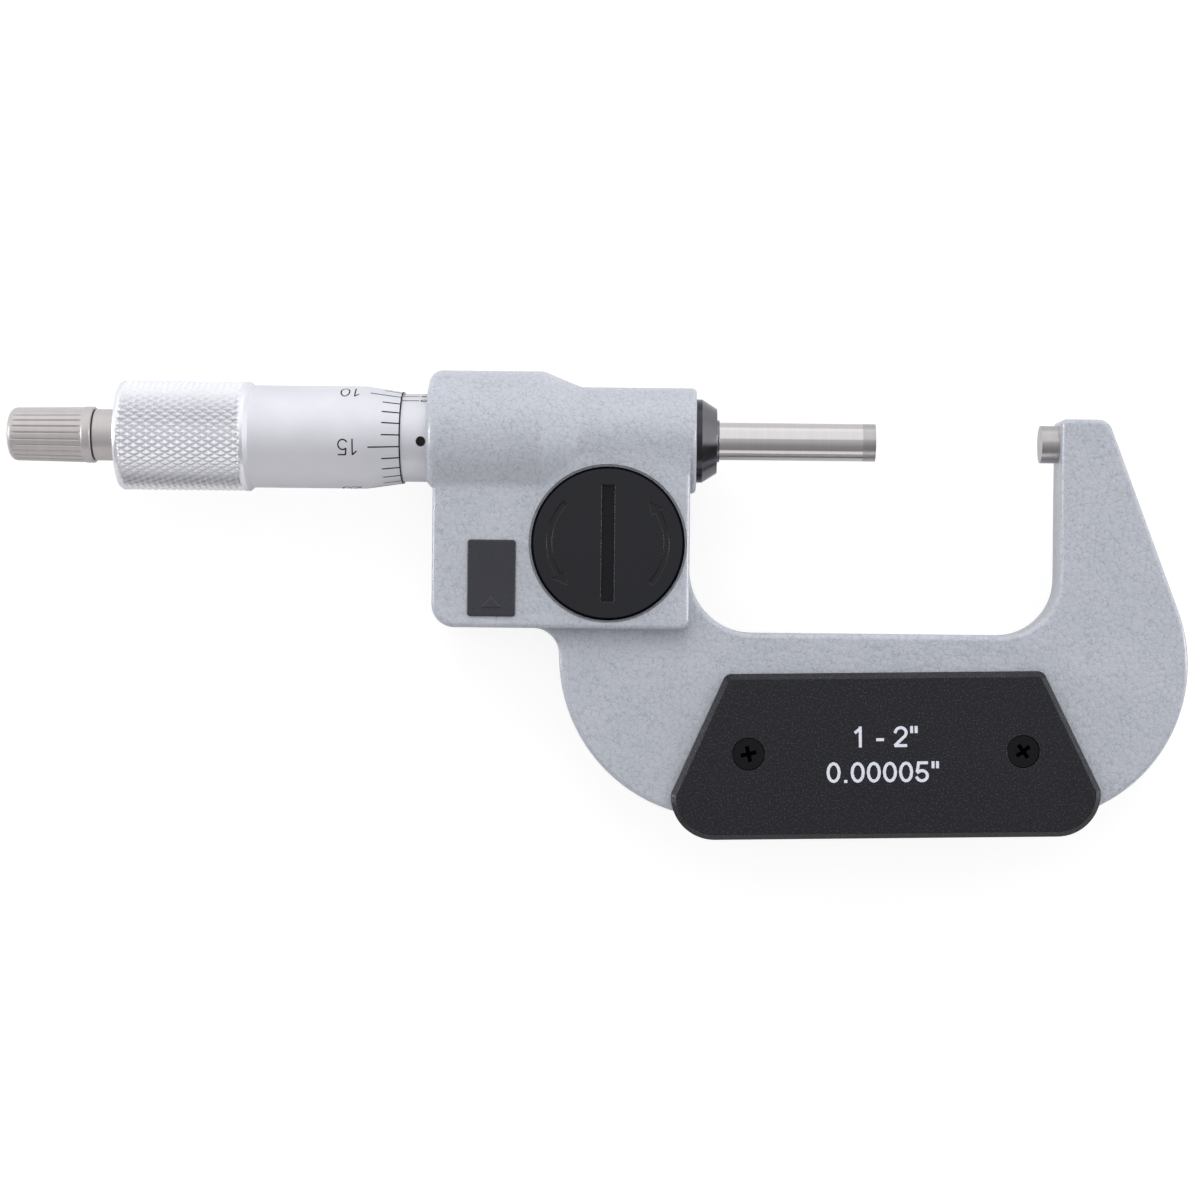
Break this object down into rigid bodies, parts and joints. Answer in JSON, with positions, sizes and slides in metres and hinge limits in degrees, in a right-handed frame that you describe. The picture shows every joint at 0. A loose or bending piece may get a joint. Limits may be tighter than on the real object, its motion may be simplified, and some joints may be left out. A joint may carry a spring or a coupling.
{
  "type": "digital outside micrometer",
  "caption": "Digital outside micrometer: cast bow frame with an electronics block, knurled thimble, ratchet stop, carbide faces and insulating grip plates.",
  "frame": {"origin": "centre of the anvil's measuring face, on the spindle's line", "axes": "+X from the spindle through the anvil, +Y away from the bow, +Z the rear of the instrument, which lies uppermost"},
  "size_m": [0.1989, 0.0785, 0.0267],
  "materials": {
    "enamel": "hammertone enamel on a casting",
    "ground_steel": "ground",
    "carbide": "lapped carbide",
    "collar_black": "satin black",
    "seal_rubber": "matt",
    "satin_chrome": "satin chrome",
    "sleeve_chrome": "satin chrome, engraved",
    "turned_steel": "turned",
    "inner_steel": "turned",
    "grip_black": "fine speckle",
    "screw_black": "black oxide",
    "cap_black": "moulded satin",
    "port_black": "moulded satin",
    "cover_grey": "moulded",
    "button_grey": "moulded",
    "button_red": "moulded",
    "window_clear": "clear",
    "lcd_glass": "grey-green display",
    "strip_rubber": "striped",
    "board_green": "solder mask",
    "inner_plastic": "moulded",
    "bronze": "turned",
    "contact_gold": "plated",
    "cell_steel": "nickel plated"
  },
  "bodies": {
    "frame": {"frame": "enamel", "anvil": "ground_steel", "anvil_tip": "carbide", "nose_collar": "collar_black", "wiper_ring": "seal_rubber", "inner_sleeve": "inner_steel", "adjusting_nut": "inner_steel", "encoder_stator": "board_green", "rotor_bush": "bronze", "encoder_ribbon": "contact_gold", "circuit_board": "board_green", "button_switches": "inner_plastic", "lcd_panel": "lcd_glass", "lcd_contact_strips": "strip_rubber", "display_window": "window_clear", "front_cover": "cover_grey", "cover_gasket": "seal_rubber", "front_cover_screws": "screw_black", "battery": "cell_steel", "battery_cup": "inner_plastic", "battery_contact_plus": "contact_gold", "battery_contact_minus": "contact_gold", "data_port_socket": "inner_plastic", "data_port_pins": "contact_gold", "rear_grip_plate": "grip_black", "front_grip_plate": "grip_black", "rear_grip_screws": "screw_black", "front_grip_screws": "screw_black"},
    "spindle": {"spindle": "ground_steel", "spindle_tip": "carbide", "thimble": "satin_chrome", "ratchet_stem": "turned_steel", "ratchet_screw": "inner_steel"},
    "ratchet": {"ratchet_knob": "turned_steel", "ratchet_ring": "inner_steel", "ratchet_spring": "inner_steel"},
    "rotor": {"encoder_rotor": "inner_plastic"},
    "sleeve": {"graduated_sleeve": "sleeve_chrome"},
    "lock": {"lock_lever": "screw_black", "lock_pin": "inner_steel"},
    "zero_button": {"zero_button": "button_red"},
    "hold_button": {"hold_button": "button_grey"},
    "unit_button": {"unit_button": "button_grey"},
    "cap_seal": {"battery_cap_seal": "seal_rubber"},
    "battery_cap": {"battery_cap": "cap_black"},
    "port_cover": {"data_port_cover": "port_black"}
  },
  "joints": [
    {"name": "thimble_turn", "type": "hinge", "parent": "frame", "child": "rotor", "pos_m": [-0.095, 0, 0], "axis": [1, 0, 0], "range_deg": [-12960, 1440]},
    {"name": "spindle_feed", "type": "slide", "parent": "rotor", "child": "spindle", "axis": [1, 0, 0], "range_m": [-0.02286, 0.00254]},
    {"name": "ratchet_turn", "type": "hinge", "parent": "spindle", "child": "ratchet", "pos_m": [-0.168, 0, 0], "axis": [1, 0, 0], "continuous": true},
    {"name": "sleeve_set", "type": "hinge", "parent": "frame", "child": "sleeve", "pos_m": [-0.115, 0, 0], "axis": [1, 0, 0], "range_deg": [-15, 15]},
    {"name": "lock_swing", "type": "hinge", "parent": "frame", "child": "lock", "pos_m": [-0.0632, -0.0049, -0.005], "axis": [0, 0, 1], "range_deg": [0, 60]},
    {"name": "zero_button_press", "type": "slide", "parent": "frame", "child": "zero_button", "axis": [0, 0, 1], "range_m": [0, 0.0004], "stiffness_N_per_m": 400, "springref_m": -0.0006},
    {"name": "hold_button_press", "type": "slide", "parent": "frame", "child": "hold_button", "axis": [0, 0, 1], "range_m": [0, 0.0004], "stiffness_N_per_m": 400, "springref_m": -0.0006},
    {"name": "unit_button_press", "type": "slide", "parent": "frame", "child": "unit_button", "axis": [0, 0, 1], "range_m": [0, 0.0004], "stiffness_N_per_m": 400, "springref_m": -0.0006},
    {"name": "cap_lift", "type": "slide", "parent": "frame", "child": "cap_seal", "axis": [0, 0, 1], "range_m": [0, 0.003]},
    {"name": "cap_turn", "type": "hinge", "parent": "cap_seal", "child": "battery_cap", "pos_m": [-0.0728, -0.0177, 0.0079], "axis": [0, 0, 1], "range_deg": [0, 1080]},
    {"name": "port_cover_lift", "type": "slide", "parent": "frame", "child": "port_cover", "axis": [0, 0, 1], "range_m": [0, 0.004]}
  ],
  "couplings": [
    {"joint": "thimble_turn", "follows": "spindle_feed", "rad_per_m": 9894.8},
    {"joint": "cap_lift", "follows": "cap_turn", "m_per_rad": 0.00015915}
  ]
}
